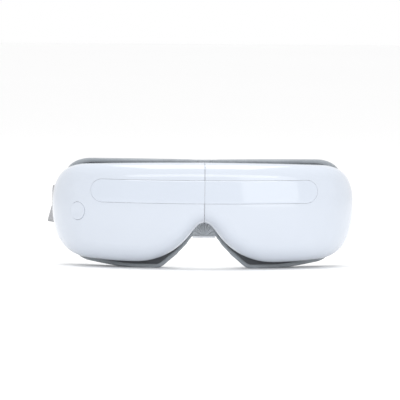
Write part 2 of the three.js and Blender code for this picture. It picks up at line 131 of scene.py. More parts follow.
# ---------------------------------------------------------------- camera
def make_camera():
    """A long lens almost square to the front, a little above and to the button's side."""
    distance, width = 3.0, 0.2725
    azimuth, elevation, roll = math.radians(-1.2), math.radians(3), math.radians(0.45)
    target = Vector((-0.0033, FRONT, 0.0482))
    level = math.cos(elevation)
    away = Vector((math.sin(azimuth) * level, -math.cos(azimuth) * level, math.sin(elevation)))
    bpy.ops.object.camera_add(location=target + away * distance)
    camera = bpy.context.object
    camera.name = "camera"
    turn = (-away).to_track_quat("-Z", "Y").to_matrix().to_4x4()
    camera.matrix_world = Matrix.Translation(target + away * distance) @ turn @ Matrix.Rotation(roll, 4, "Z")
    camera.data.sensor_width = 36
    camera.data.lens = 36 * distance / width
    bpy.context.scene.camera = camera


# ---------------------------------------------------------------- shaping helpers
def spot(x, y, z):
    """A point in metres in the row frame, from millimetres behind the front of the nose bridge."""
    return Vector((x * MM, FRONT + y * MM, z * MM))


def only(*objects):
    bpy.ops.object.select_all(action="DESELECT")
    for obj in objects:
        obj.select_set(True)
    bpy.context.view_layer.objects.active = objects[-1]


def edit(obj, *steps):
    """Run edit-mode steps on the whole of a mesh."""
    only(obj)
    bpy.ops.object.mode_set(mode="EDIT")
    bpy.ops.mesh.select_all(action="SELECT")
    for step in steps:
        step()
    bpy.ops.object.mode_set(mode="OBJECT")


def weld(obj, distance=1e-6):
    edit(obj, lambda: bpy.ops.mesh.remove_doubles(threshold=distance),
         lambda: bpy.ops.mesh.normals_make_consistent(inside=False))


def cap_ends(obj):
    """Close the open ends of a tube."""
    edit(obj, lambda: bpy.ops.mesh.select_mode(type="VERT"),
         lambda: bpy.ops.mesh.select_all(action="DESELECT"),
         lambda: bpy.ops.mesh.select_non_manifold(),
         lambda: bpy.ops.mesh.fill_holes(sides=0),
         lambda: bpy.ops.mesh.select_all(action="SELECT"),
         lambda: bpy.ops.mesh.normals_make_consistent(inside=False))


def modify(obj, kind, **settings):
    """Add one modifier and apply it."""
    only(obj)
    modifier = obj.modifiers.new(kind.lower(), kind)
    for key, value in settings.items():
        setattr(modifier, key, value)
    bpy.ops.object.modifier_apply(modifier=modifier.name)


def soften(obj, width, segments=2, angle=40):
    """Round the hard edges and shade the rest smooth."""
    modify(obj, "BEVEL", width=width * MM, segments=segments, limit_method="ANGLE",
           angle_limit=math.radians(angle), miter_outer="MITER_ARC")
    shade(obj)


def shade(obj, angle=35):
    only(obj)
    bpy.ops.object.shade_smooth_by_angle(angle=math.radians(angle))


def grid_piece(name, along, across, place, closed=False):
    """A grid of quads whose points place(i, j) gives in millimetres. closed joins edges that meet."""
    bpy.ops.mesh.primitive_grid_add(x_subdivisions=along, y_subdivisions=across, size=1)
    obj = bpy.context.object
    obj.name = obj.data.name = name
    for vertex in obj.data.vertices:
        i = round((vertex.co.x + 0.5) * along)
        j = round((vertex.co.y + 0.5) * across)
        vertex.co = spot(*place(i, j))
    if closed:
        weld(obj)
    return obj


def box_piece(name, low, high):
    bpy.ops.mesh.primitive_cube_add(size=1)
    obj = bpy.context.object
    obj.name = obj.data.name = name
    low, high = spot(*low), spot(*high)
    for vertex in obj.data.vertices:
        vertex.co = [low[k] if vertex.co[k] < 0 else high[k] for k in range(3)]
    return obj


def rod(name, start, direction, length, radius, sides=48):
    """A round bar from start along direction, in millimetres."""
    bpy.ops.mesh.primitive_cylinder_add(vertices=sides, radius=radius * MM, depth=length * MM)
    obj = bpy.context.object
    obj.name = obj.data.name = name
    way = Vector(direction).normalized()
    turn = way.to_track_quat("Z", "Y").to_matrix().to_4x4()
    obj.data.transform(Matrix.Translation(spot(*start) + way * (length * MM / 2)) @ turn)
    return obj


def cut(obj, *tools):
    for tool in tools:
        modify(obj, "BOOLEAN", operation="DIFFERENCE", solver="EXACT", object=tool)
        bpy.data.objects.remove(tool)


def join(name, *objects):
    only(*objects)
    if len(objects) > 1:
        bpy.ops.object.join()
    obj = bpy.context.object
    obj.name = obj.data.name = name
    return obj


def mirrored(obj, name):
    """A copy on the other side of the nose, with its faces turned out again."""
    copy = obj.copy()
    copy.data = obj.data.copy()
    copy.name = copy.data.name = name
    bpy.context.scene.collection.objects.link(copy)
    for vertex in copy.data.vertices:
        vertex.co.x = -vertex.co.x
    copy.data.flip_normals()
    return copy


def outward_front(obj):
    """Turn an open front sheet so that it faces away from the wearer."""
    if sum(face.normal.y * face.area for face in obj.data.polygons) > 0:
        obj.data.flip_normals()


def smoothstep(low, high, value):
    share = min(1, max(0, (value - low) / (high - low)))
    return share * share * (3 - 2 * share)


def lerp(a, b, share):
    return a + (b - a) * share


# ---------------------------------------------------------------- the mask's surfaces
def front_back(x, z):
    return FRONT_RADIUS - math.sqrt(FRONT_RADIUS ** 2 - x * x) + (z - CROWN_Z) ** 2 / (2 * CROWN_RADIUS)


def front_slope(x):
    return x / math.sqrt(FRONT_RADIUS ** 2 - x * x)


def part_back(x):
    return PART_BACK + PART_SWEEP * (x / HALF_WIDTH) ** 2


def edge_roll(nx, nz):
    """How far the front rolls back at an edge, from the direction that points in from it."""
    temple = (TEMPLE_ROLL - EDGE_ROLL) * max(0, -nx) ** 2
    return EDGE_ROLL + temple - (EDGE_ROLL - TOP_ROLL) * max(0, -nz) ** 2


def on_bezier(curve, t):
    """Point, then direction of travel, on a cubic curve given as four (x, z) pairs."""
    s = 1 - t
    weights = (s ** 3, 3 * s * s * t, 3 * s * t * t, t ** 3)
    rates = (-3 * s * s, 3 * s * (s - 2 * t), 3 * t * (2 * s - t), 3 * t * t)
    xs, zs = curve[0::2], curve[1::2]
    dot = lambda a, b: sum(p * q for p, q in zip(a, b))
    return dot(weights, xs), dot(weights, zs), dot(rates, xs), dot(rates, zs)


def stations(chain, count):
    """count + 1 evenly spaced points on a chain of curves: x, z, inward normal, curve number, share of it."""
    fine = []
    steps = 160
    for part, curve in enumerate(chain):
        for k in range(steps + (part == len(chain) - 1)):
            x, z, dx, dz = on_bezier(curve, k / steps)
            size = math.hypot(dx, dz) or 1
            fine.append((x, z, dz / size, -dx / size, part, k / steps))
    lengths = [0]
    for a, b in zip(fine, fine[1:]):
        lengths.append(lengths[-1] + math.hypot(b[0] - a[0], b[1] - a[1]))
    found, k = [], 0
    for n in range(count + 1):
        want = lengths[-1] * n / count
        while k < len(fine) - 2 and lengths[k + 1] < want:
            k += 1
        share = (want - lengths[k]) / (lengths[k + 1] - lengths[k])
        a, b = fine[k], fine[k + 1]
        point = [lerp(p, q, share) for p, q in zip(a[:4], b[:4])]
        t = lerp(a[5], b[5] if b[4] == a[4] else 1, share)
        found.append((*point, a[4], t))
    return found


# ---------------------------------------------------------------- hard front
def pill_border(station, low_x):
    x, _, nx, nz, part, t = station
    flat = PILL_TIP - PILL_HALF
    if part in (1, 2):
        turn = math.pi * (part - 1 + t) / 2
        return flat + PILL_HALF * math.sin(turn), PILL_Z + PILL_HALF * math.cos(turn)
    if part == 0:
        return flat * x / CORNER_X, PILL_Z + PILL_HALF
    return flat * (x + nx * edge_roll(nx, nz)) / low_x, PILL_Z - PILL_HALF


def shell_skin():
    """Half a front shell: its back edge, wall, rolled edge and face, up to the panel window."""
    along, wall_rows, roll_rows, face_rows = 170, 3, 14, 12
    ring = stations(SHELL_OUTLINE, along)
    low_x = next(x + nx * edge_roll(nx, nz) for x, _, nx, nz, part, _ in ring if part == 3)

    def place(i, j):
        x, z, nx, nz, _, _ = ring[i]
        roll = edge_roll(nx, nz)
        if j < wall_rows:
            return x, lerp(part_back(x), front_back(x, z) + roll, j / wall_rows), z
        if j <= wall_rows + roll_rows:
            lean = math.pi / 2 * (1 - (j - wall_rows) / roll_rows)
            inset = roll * (1 - math.sin(lean))
            x, z = x + nx * inset, z + nz * inset
            return x, front_back(x, z) + roll * (1 - math.cos(lean)), z
        share = (j - wall_rows - roll_rows) / face_rows
        pill_x, pill_z = pill_border(ring[i], low_x)
        x, z = lerp(x + nx * roll, pill_x, share), lerp(z + nz * roll, pill_z, share)
        x = max(x, SEAM)
        return x, front_back(x, z), z

    skin = grid_piece("left_shell", along, wall_rows + roll_rows + face_rows, place)
    outward_front(skin)
    weld(skin, 1e-5)
    outward_front(skin)
    modify(skin, "SOLIDIFY", thickness=WALL * MM, offset=-1)
    return skin


def button_frame():
    inset = HALF_WIDTH - BUTTON_X
    lean = math.asin(1 - inset / TEMPLE_ROLL)
    slope = front_slope(BUTTON_X) + math.tan(lean)
    back = front_back(BUTTON_X, BUTTON_Z) + TEMPLE_ROLL * (1 - math.cos(lean))
    return Vector((-BUTTON_X, back, BUTTON_Z)), Vector((slope, 1, 0)).normalized()


def button_rod(name, depth, length, radius, sides=96):
    centre, inward = button_frame()
    return rod(name, centre + inward * depth, inward, length, radius, sides)


def make_shells():
    left = shell_skin()
    right = mirrored(left, "right_shell")
    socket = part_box("charging_socket")
    slot_x = (socket[0].x + socket[1].x) / 2 / MM
    slot_back = ((socket[0].y + socket[1].y) / 2 - FRONT) / MM + 1.2
    mouth = box_piece("mouth", (slot_x - 5.1, slot_back - 2.3, 0), (slot_x + 5.1, slot_back + 2.3, 12))
    modify(mouth, "BEVEL", width=2.2 * MM, segments=6, limit_method="ANGLE", angle_limit=math.radians(60))
    cut(right, button_rod("button_hole", -6, 14, BUTTON_R + 0.2), mouth)
    for shell, side in ((right, "right"), (left, "left")):
        soften(shell, 0.28, segments=3, angle=50)
        finish_piece(shell, f"{side}_half", GLOSS, "gloss_shell", f"{side}_front_shell")


def panel_skin():
    half = PILL_HALF - PANEL_GAP
    flat = PILL_TIP - PILL_HALF
    straight, turned, across = 60, 20, 14
    tip_turn = math.radians(87)

    def place(i, j):
        if i <= straight:
            x, reach = lerp(PANEL_SEAM, flat, i / straight), half
        else:
            turn = tip_turn * (i - straight) / turned
            x, reach = flat + half * math.sin(turn), half * math.cos(turn)
        z = PILL_Z + reach * (2 * j / across - 1)
        return x, front_back(x, z) + 0.02, z

    skin = grid_piece("left_panel", straight + turned, across, place)
    outward_front(skin)
    modify(skin, "SOLIDIFY", thickness=PANEL_THICK * MM, offset=-1)
    soften(skin, 0.16, segments=2, angle=60)
    return skin


def make_panels():
    left = panel_skin()
    right = mirrored(left, "right_panel")
    for panel, side in ((right, "right"), (left, "left")):
        finish_piece(panel, f"{side}_half", PANEL, "trim_panel", f"{side}_trim_panel")


def make_button():
    cap = button_rod("button_cap", -0.12, 4.4, BUTTON_R)
    edit(cap, lambda: bpy.ops.mesh.select_mode(type="FACE"),
         lambda: bpy.ops.mesh.select_all(action="DESELECT"))
    _, inward = button_frame()
    for face in cap.data.polygons:
        face.select = face.normal.dot(inward) < -0.9
    bpy.ops.object.mode_set(mode="EDIT")
    for ring, dish in ((0.9, 0), (1.6, 0.12), (2.0, 0.05)):
        bpy.ops.mesh.inset(thickness=ring * MM, depth=-dish * MM)
    bpy.ops.object.mode_set(mode="OBJECT")
    soften(cap, 0.22, segments=3, angle=45)
    flange = button_rod("flange", 3.5, 1.1, BUTTON_R + 1.2)
    soften(flange, 0.2)
    stem = button_rod("stem", 4.2, 2.9, 2, 32)
    soften(stem, 0.2)
    button = join("button", flange, stem, cap)
    finish_piece(button, "power_button", GLOSS, "gloss_shell", "power_button")


# ---------------------------------------------------------------- soft face side
def fold_clear(x, y):
    """Lean the pad's nose side away from the seam, so that the halves can fold."""
    nose_side = EYE_X - EYE_RX
    if x >= nose_side:
        return x
    edge = SOFT_EDGE + max(0, y - HINGE_BACK) * math.tan(FOLD_HALF)
    return edge + (x - SOFT_EDGE) * (nose_side - edge) / (nose_side - SOFT_EDGE)


def pad_thickness(x):
    return 8 + 4 * smoothstep(SOFT_EDGE, 30, x) + 2 * (x / 100) ** 2


def pad_point(station, share, height):
    """A point of the pad: share runs from rim to eye opening, height from carrier to crest."""
    x, z = station[0], station[1]
    turn = math.atan2((z - EYE_Z) / EYE_RZ, (x - EYE_X) / EYE_RX)
    px = lerp(x, EYE_X + EYE_RX * math.cos(turn), share)
    pz = lerp(z, EYE_Z + EYE_RZ * math.sin(turn), share)
    py = part_back(px) + PAD_BASE + height * pad_thickness(px)
    return fold_clear(px, py), py, pz


def inflate(obj, voxel, pressure, held, cap):
    """Swell a closed skin by cloth simulation. held(point) says what stays; cap limits the travel."""
    modify(obj, "REMESH", mode="VOXEL", voxel_size=voxel * MM, adaptivity=0)
    start = [v.co.copy() for v in obj.data.vertices]
    group = obj.vertex_groups.new(name="held")
    group.add([v.index for v in obj.data.vertices if held((v.co - Vector((0, FRONT, 0))) / MM)], 1, "REPLACE")
    only(obj)
    cloth = obj.modifiers.new("cloth", "CLOTH")
    cloth.settings.use_pressure = True
    cloth.settings.uniform_pressure_force = pressure
    cloth.settings.quality = 5
    cloth.settings.mass = 0.3
    cloth.settings.tension_stiffness = 15
    cloth.settings.compression_stiffness = 15
    cloth.settings.bending_stiffness = 0.5
    cloth.settings.vertex_group_mass = "held"
    cloth.settings.effector_weights.gravity = 0
    cloth.collision_settings.use_collision = False
    cloth.point_cache.frame_start, cloth.point_cache.frame_end = 1, 20
    scene = bpy.context.scene
    for number in range(1, 21):
        scene.frame_set(number)
    bpy.ops.object.modifier_apply(modifier=cloth.name)
    scene.frame_set(1)
    for vertex, was in zip(obj.data.vertices, start):
        move = vertex.co - was
        if move.length > cap * MM:
            vertex.co = was + move.normalized() * cap * MM
    obj.vertex_groups.clear()


def groove(obj, line, depth, width):
    """Press a sewn channel into a dense skin along points in metres; returns them on the surface."""
    tree = BVHTree.FromObject(obj, bpy.context.evaluated_depsgraph_get())
    laid = [tree.find_nearest(point)[:2] for point in line]
    near = KDTree(len(laid))
    for k, (point, _) in enumerate(laid):
        near.insert(point, k)
    near.balance()
    normals = [v.normal.copy() for v in obj.data.vertices]
    for vertex, normal in zip(obj.data.vertices, normals):
        _, _, distance = near.find(vertex.co)
        fall = math.exp(-(distance / (width * MM)) ** 2)
        if fall > 0.01:
            vertex.co -= normal * depth * MM * fall
    return laid


def stitch_row(name, laid, pitch, length, radius, sink=0.1):
    """A row of thread stitches lying along points on a surface, as one mesh."""
    stitches, run, points = [], 0.0, [p for p, _ in laid]
    bpy.ops.mesh.primitive_cylinder_add(vertices=6, radius=radius * MM, depth=length * MM)
    model = bpy.context.object
    modify(model, "BEVEL", width=radius * 0.6 * MM, segments=1, limit_method="ANGLE",
           angle_limit=math.radians(60))
    for k in range(len(points) - 1):
        step = (points[k + 1] - points[k]).length
        if step < 1e-7:
            continue
        run += step
        if run >= pitch * MM:
            run = 0.0
            way = (points[k + 1] - points[k]).normalized()
            copy = model.copy()
            copy.data = model.data.copy()
            bpy.context.scene.collection.objects.link(copy)
            place = points[k] + laid[k][1] * (radius - sink * 2) * MM
            copy.data.transform(Matrix.Translation(place) @ way.to_track_quat("Z", "Y").to_matrix().to_4x4())
            stitches.append(copy)
    bpy.data.objects.remove(model)
    row = join(name, *stitches)
    shade(row)
    return row


def make_face_pads():
    ring = stations(PAD_OUTLINE, 150)[:-1]
    back = [(0.5, 0), (0.16, 0), (0.11, -0.13), (0.0, -0.13)]
    rim_side = [(-0.015, 0.08), (0.0, 0.35), (0.01, 0.62), (0.08, 0.88)]
    crest = [(0.3, 0.965), (0.5, 0.98), (0.7, 0.955)]
    eye_side = [(0.92, 0.8), (0.99, 0.5), (0.98, 0), (0.5, 0)]
    profile = back + rim_side + crest + eye_side

    def place(i, j):
        return pad_point(ring[i % len(ring)], *profile[j])

    pad = grid_piece("left_pad", len(ring), len(profile) - 1, place, closed=True)

    def held(point):
        return point.y - part_back(abs(point.x)) - PAD_BASE < 1.2

    inflate(pad, 1.3, 3.0, held, 0.8)
    modify(pad, "SMOOTH", factor=0.5, iterations=2)
    dense = ring + ring[:1]
    rim = [spot(*pad_point(s, 0.06, 0.86)) for s in dense]
    lip = [spot(*pad_point(s, 0.9, 0.82)) for s in dense]
    laid = []
    for line in (rim, lip):
        fine = [a.lerp(b, k / 4) for a, b in zip(line, line[1:]) for k in range(4)]
        laid.append(groove(pad, fine, 0.45, 0.8))
    row = stitch_row("left_pad_stitches", laid[0], 3.0, 1.9, 0.22)
    shade(pad, 80)
    right, right_row = mirrored(pad, "right_pad"), mirrored(row, "right_pad_stitches")
    for side, piece, seam in (("left", pad, row), ("right", right, right_row)):
        finish_piece(piece, f"{side}_half", LEATHER, "pad_leather", f"{side}_face_pad")
        finish_piece(seam, f"{side}_half", THREAD, "pad_leather")


def make_eye_cushions():
    """Stretch-cloth cushions in the eye openings, swollen by cloth simulation and sewn down on an oval."""
    margin, front, back, around, up = 0.4, 4.4, 8.6, 72, 24

    def place(i, j):
        turn, rise = 2 * math.pi * i / around, math.pi * (j / up - 0.5)
        flat = math.copysign(abs(math.sin(rise)) ** 0.7, math.sin(rise))
        spread = max(0, math.cos(rise)) ** 0.45
        x = EYE_X + (EYE_RX - margin) * spread * math.cos(turn)
        z = EYE_Z + (EYE_RZ - margin) * spread * math.sin(turn)
        return x, part_back(x) + (front + back) / 2 + (back - front) / 2 * flat, z

    cushion = grid_piece("left_cushion", around, up, place, closed=True)

    def held(point):
        return point.y - part_back(abs(point.x)) < front + 1.2

    inflate(cushion, 1.6, 3.0, held, 1.4)
    modify(cushion, "SUBSURF", levels=1, render_levels=1)
    oval, steps, line = 0.62, 240, []
    for k in range(steps + 1):
        turn = 2 * math.pi * k / steps
        x, z = EYE_X + EYE_RX * oval * math.cos(turn), EYE_Z + EYE_RZ * oval * math.sin(turn)
        line.append(spot(x, part_back(x) + back + 1, z))
    laid = groove(cushion, line, 0.9, 1.1)
    seam = stitch_row("left_cushion_stitches", laid, 2.6, 1.6, 0.2)
    shade(cushion, 80)
    copies = {"left": (cushion, seam),
              "right": (mirrored(cushion, "right_cushion"), mirrored(seam, "right_cushion_stitches"))}
    for side, (piece, row) in copies.items():
        finish_piece(piece, f"{side}_half", CLOTH, "eye_cloth", f"{side}_eye_cushion")
        finish_piece(row, f"{side}_half", THREAD, "eye_cloth")


def make_nose_flap():
    """Gathered leather arch under the bridge: pleats fan out from the middle of the hem."""
    half, rise, hem = 7.9, 13.5, 21.9
    fan, deep, pleats = 180, 22, 8

    def place(i, j):
        turn = math.pi * i / fan
        share = j / deep
        x, z = half * share * math.cos(turn), hem + rise * share * math.sin(turn)
        swell = math.sin(math.pi * min(1, share * 1.02)) ** 0.8
        fold = math.cos(turn * 2 * pleats + 0.7 * math.sin(3 * turn)) * 0.7 * share * (0.35 + 0.65 * swell)
        back = 24.9 + 1.6 * (1 - share ** 2) + fold
        return x, back, z

    flap = grid_piece("nose_flap_leather", fan, deep, place)
    weld(flap)
    outward_front(flap)
    modify(flap, "SOLIDIFY", thickness=0.6 * MM, offset=-1)
    shade(flap, 80)
    around, length = 14, 90

    def hem_place(i, j):
        along, turn = 2 * i / length - 1, 2 * math.pi * j / around
        ruffle = 0.12 * math.sin(along * 46)
        back = 26.2 - 1.5 * along ** 2 + 0.95 * math.cos(turn) + ruffle
        return along * (half - 0.2), back, hem - 0.3 + (0.9 + ruffle) * math.sin(turn)

    band = grid_piece("nose_flap_hem", length, around, hem_place, closed=True)
    cap_ends(band)
    shade(band, 80)
    # The flap and hem colours are the pad's grey leather made brighter: painted light for the shaded notch
    # under the bridge.
    for piece, look in ((flap, FLAP_LIT_LEATHER), (band, HEM_LIT_LEATHER)):
        finish_piece(piece, None, look, "pad_leather", *(["nose_flap"] if piece is flap else []))
        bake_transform(piece)


def make_gusset():
    """Soft cover over the hinge, between the two pads: an upright roll with vertical pleats."""
    low, high, around, up = 36.8, 74.5, 96, 60

    def half_width(y):
        return SOFT_EDGE + (y - HINGE_BACK) * math.tan(FOLD_HALF) - 0.3

    def place(i, j):
        turn, level = 2 * math.pi * i / around, j / up
        ends = math.sqrt(max(0, 1 - abs(2 * level - 1) ** 16))
        along, depth = math.cos(turn), math.sin(turn)
        y = 28.0 + 2.9 * math.copysign(abs(depth) ** 0.75, depth) * (0.3 + 0.7 * ends)
        x = half_width(y) * math.copysign(abs(along) ** 0.7, along) * (0.72 + 0.28 * ends)
        pleat = 0.55 * math.cos(x * 1.15) * abs(depth) ** 0.5
        return x, y - pleat * (1 if depth > 0 else -1), lerp(low, high, level)

    gusset = grid_piece("hinge_cover", around, up, place, closed=True)
    cap_ends(gusset)
    shade(gusset, 60)
    finish_piece(gusset, None, LEATHER, "pad_leather", "bridge_gusset")
    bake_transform(gusset)


# ---------------------------------------------------------------- strap
def strap_route(side):
    """The strap's middle line in plan, from the end of its folded-back layer round the pin to the clasp."""
    near, far = STRAP_STRAIGHT
    out = STRAP_SIDE[side]
    turn_r = 2.75
    points = [Vector((out - STRAP_THICK - 0.15, 83 - k, 0)) for k in range(0, 6)]
    points += [Vector((LUG_X - turn_r + 0.3, 73.5, 0)), Vector((LUG_X - turn_r, 71, 0))]
    for k in range(9):
        turn = math.pi + math.pi * k / 8
        points.append(Vector((LUG_X + turn_r * math.cos(turn), LUG_BACK + turn_r * math.sin(turn), 0)))
    points += [Vector((lerp(LUG_X + turn_r, out, 0.3), 72, 0)), Vector((out, 77, 0)), Vector((out, near, 0))]
    points += [Vector((out, lerp(near, far, k / 5), 0)) for k in range(1, 6)]
    curve = (out, far, out, 150, 64, STRAP_REAR, 19, STRAP_REAR)
    for k in range(1, 25):
        x, y, _, _ = on_bezier(curve, k / 24)
        points.append(Vector((x, y, 0)))
    points.append(Vector((4.5, STRAP_REAR, 0)))
    return points


def resampled(points, pitch):
    """Points a fixed pitch apart along a smooth line through the given ones."""
    fine = []
    for k in range(len(points) - 1):
        p0, p1, p2, p3 = (points[max(0, min(len(points) - 1, k + n))] for n in (-1, 0, 1, 2))
        for m in range(8):
            t = m / 8
            fine.append(0.5 * (2 * p1 + (p2 - p0) * t + (2 * p0 - 5 * p1 + 4 * p2 - p3) * t * t
                               + (3 * p1 - p0 - 3 * p2 + p3) * t ** 3))
    fine.append(points[-1])
    total = sum((b - a).length for a, b in zip(fine, fine[1:]))
    count = round(total / pitch)
    found, k, run = [fine[0]], 0, 0.0
    for n in range(1, count):
        want = total * n / count
        while run + (fine[k + 1] - fine[k]).length < want:
            run += (fine[k + 1] - fine[k]).length
            k += 1
        share = (want - run) / (fine[k + 1] - fine[k]).length
        found.append(fine[k].lerp(fine[k + 1], share))
    found.append(fine[-1])
    return found, total


def strap_lean(side, y):
    """How far the strap stands out per millimetre below its middle: the right one twists near the lug."""
    most = 0.29 if side == "right" else 0.0
    return most * smoothstep(76, 90, y) * (1 - smoothstep(128, 168, y))


def make_strap(side):
    route, total = resampled(strap_route(side), 1.5)
    around = 44
    half_w, half_t = STRAP_WIDTH / 2, STRAP_THICK / 2

    def place(i, j):
        point = route[i]
        along = (route[min(i + 1, len(route) - 1)] - route[max(i - 1, 0)]).normalized()
        out = Vector((along.y, -along.x, 0))
        turn = 2 * math.pi * j / around
        up = half_w * math.copysign(abs(math.cos(turn)) ** 0.35, math.cos(turn))
        off = half_t * math.copysign(abs(math.sin(turn)) ** 0.3, math.sin(turn))
        ribs = 0.07 * math.cos(up * 2 * math.pi / 1.6) * (1 if abs(up) < half_w - 1 else 0)
        off += math.copysign(ribs, off) if abs(off) > half_t * 0.7 else 0
        place = point + out * off
        return place.x - strap_lean(side, point.y) * up, place.y, STRAP_Z + up

    strap = grid_piece(f"{side}_strap_webbing", len(route) - 1, around, place)
    if side == "right":
        for vertex in strap.data.vertices:
            vertex.co.x = -vertex.co.x
    length, girth = total * MM, 2 * STRAP_WIDTH * MM
    for corner in strap.data.uv_layers.active.data:
        corner.uv = (corner.uv[0] * length, corner.uv[1] * girth)
    weld(strap)
    cap_ends(strap)
    shade(strap, 50)
    finish_piece(strap, f"{side}_strap", WEBBING, "strap_webbing", f"{side}_strap")
    make_strap_stitches(side)


def make_strap_stitches(side):
    """Box of stitches that holds the folded-back end by the lug."""
    out = STRAP_SIDE[side] + STRAP_THICK / 2 + 0.08
    low, high, near, far, steps = STRAP_Z - 10.5, STRAP_Z + 10.5, 77.5, 82.5, 40
    corners = [(near, low), (far, low), (far, high), (near, high), (near, low)]
    laid = []
    sign = -1 if side == "right" else 1
    for (y0, z0), (y1, z1) in zip(corners, corners[1:]):
        for k in range(steps):
            y, z = lerp(y0, y1, k / steps), lerp(z0, z1, k / steps)
            point = spot(sign * (out - strap_lean(side, y) * (z - STRAP_Z)), y, z)
            laid.append((point, Vector((sign, 0, 0))))
    row = stitch_row(f"{side}_strap_stitches", laid, 2.0, 1.4, 0.2, sink=0.08)
    finish_piece(row, f"{side}_strap", THREAD, "strap_webbing")


def make_clasps():
    """Two moulded clasp halves behind the head, each with finger ribs."""
    low_z, high_z = STRAP_Z - BUCKLE_HALF, STRAP_Z + BUCKLE_HALF
    half, slot = 3.2, 1.35
    for side, sign in (("right", -1), ("left", 1)):
        body = box_piece(f"{side}_clasp_body", (0.35, STRAP_REAR - half, low_z),
                         (16, STRAP_REAR + half, high_z))
        cut(body, box_piece("hole", (4, STRAP_REAR - slot, STRAP_Z - SLOT_HALF),
                            (20, STRAP_REAR + slot, STRAP_Z + SLOT_HALF)))
        for k in range(4):
            x = 5.2 + 2.4 * k
            rib = rod("rib", (x, STRAP_REAR + 3.45, low_z + 4), (0, 0, 1), high_z - low_z - 8, 0.6, 16)
            cut(body, rib)
        soften(body, 0.7, segments=3, angle=50)
        if sign < 0:
            for vertex in body.data.vertices:
                vertex.co.x = -vertex.co.x
            body.data.flip_normals()
        finish_piece(body, f"{side}_strap", MOULDED, "dark_plastic", f"{side}_clasp")


def make_slider():
    """Three-bar slider on the left strap tail."""
    out = STRAP_SIDE["left"]
    low, high = STRAP_Z - BUCKLE_HALF, STRAP_Z + BUCKLE_HALF
    body = box_piece("slider_body", (out - 2.7, 86, low), (out + 2.7, 94, high))
    cut(body, box_piece("hole", (out - 1.25, 84, STRAP_Z - SLOT_HALF), (out + 1.25, 96, STRAP_Z + SLOT_HALF)))
    for near in (87.6, 91.2):
        cut(body, box_piece("window", (out + 0.5, near, STRAP_Z - 12.6),
                            (out + 4, near + 1.6, STRAP_Z + 12.6)))
    soften(body, 0.45, segments=3, angle=50)
    finish_piece(body, "strap_slider", MOULDED, "dark_plastic", "strap_slider")


def make_lugs():
    """Moulded strap brackets at the temples: base, two rounded ears and a shoulder."""
    for side, sign in (("right", -1), ("left", 1)):
        low, high = STRAP_Z - LUG_HALF, STRAP_Z + LUG_HALF
        bracket = box_piece("base", (95.6, 62.7, low), (100.6, 64.7, high))
        for z in (low, high - 2):
            for part in (rod("ear", (LUG_X, LUG_BACK, z), (0, 0, 1), 2, 2.5, 48),
                         box_piece("arm", (97, 63.8, z), (101.2, LUG_BACK, z + 2)),
                         box_piece("gusset", (97.6, 63.8, z + (2 if z == low else -1)),
                                   (101.2, 65.8, z + (3 if z == low else 0)))):
                modify(bracket, "BOOLEAN", operation="UNION", solver="EXACT", object=part)
                bpy.data.objects.remove(part)
        cut(bracket, rod("bore", (LUG_X, LUG_BACK, low - 1), (0, 0, 1), 2 * LUG_HALF + 2, 1.55, 32))
        soften(bracket, 0.3, segments=2, angle=50)
        bracket.name = bracket.data.name = f"{side}_bracket"
        pin = rod(f"{side}_strap_pin", (LUG_X, LUG_BACK, low - 0.4), (0, 0, 1), 2 * LUG_HALF + 0.8, 1.4, 32)
        soften(pin, 0.35, segments=3)
        for piece in (bracket, pin):
            if sign < 0:
                for vertex in piece.data.vertices:
                    vertex.co.x = -vertex.co.x
                piece.data.flip_normals()
        finish_piece(bracket, f"{side}_half", MOULDED, "dark_plastic", f"{side}_strap_lug")
        finish_piece(pin, f"{side}_half", STEEL, "steel", f"{side}_lug_pin")


# ---------------------------------------------------------------- finishes
def group(name, inputs, outputs):
    """An empty shader group with its sockets; returns the tree, its input node and its output node."""
    tree = bpy.data.node_groups.new(name, "ShaderNodeTree")
    for label, kind, value in inputs:
        made = tree.interface.new_socket(name=label, in_out="INPUT", socket_type=kind)
        if value is not None:
            made.default_value = value
    for label, kind in outputs:
        tree.interface.new_socket(name=label, in_out="OUTPUT", socket_type=kind)
    return tree, tree.nodes.new("NodeGroupInput"), tree.nodes.new("NodeGroupOutput")


def add(tree, kind, **values):
    """A node with its properties and input values set; an input value may be another node's socket."""
    made = tree.nodes.new(kind)
    for key, value in values.items():
        if key in made.bl_rna.properties and not key.startswith("in_"):
            setattr(made, key, value)
            continue
        key = key.removeprefix("in_")
        target = made.inputs[int(key)] if key.isdigit() else made.inputs[key.replace("_", " ")]
        if isinstance(value, bpy.types.NodeSocket):
            tree.links.new(value, target)
        else:
            target.default_value = value
    return made


def maths(tree, operation, a, b=0.0):
    return add(tree, "ShaderNodeMath", operation=operation, in_0=a, in_1=b).outputs[0]


def mapped(tree, value, low, high, new_low, new_high):
    node = add(tree, "ShaderNodeMapRange", in_Value=value, in_From_Min=low, in_From_Max=high,
               in_To_Min=new_low, in_To_Max=new_high)
    return node.outputs["Result"]


VALUE, COLOUR, POINT = "NodeSocketFloat", "NodeSocketColor", "NodeSocketVector"


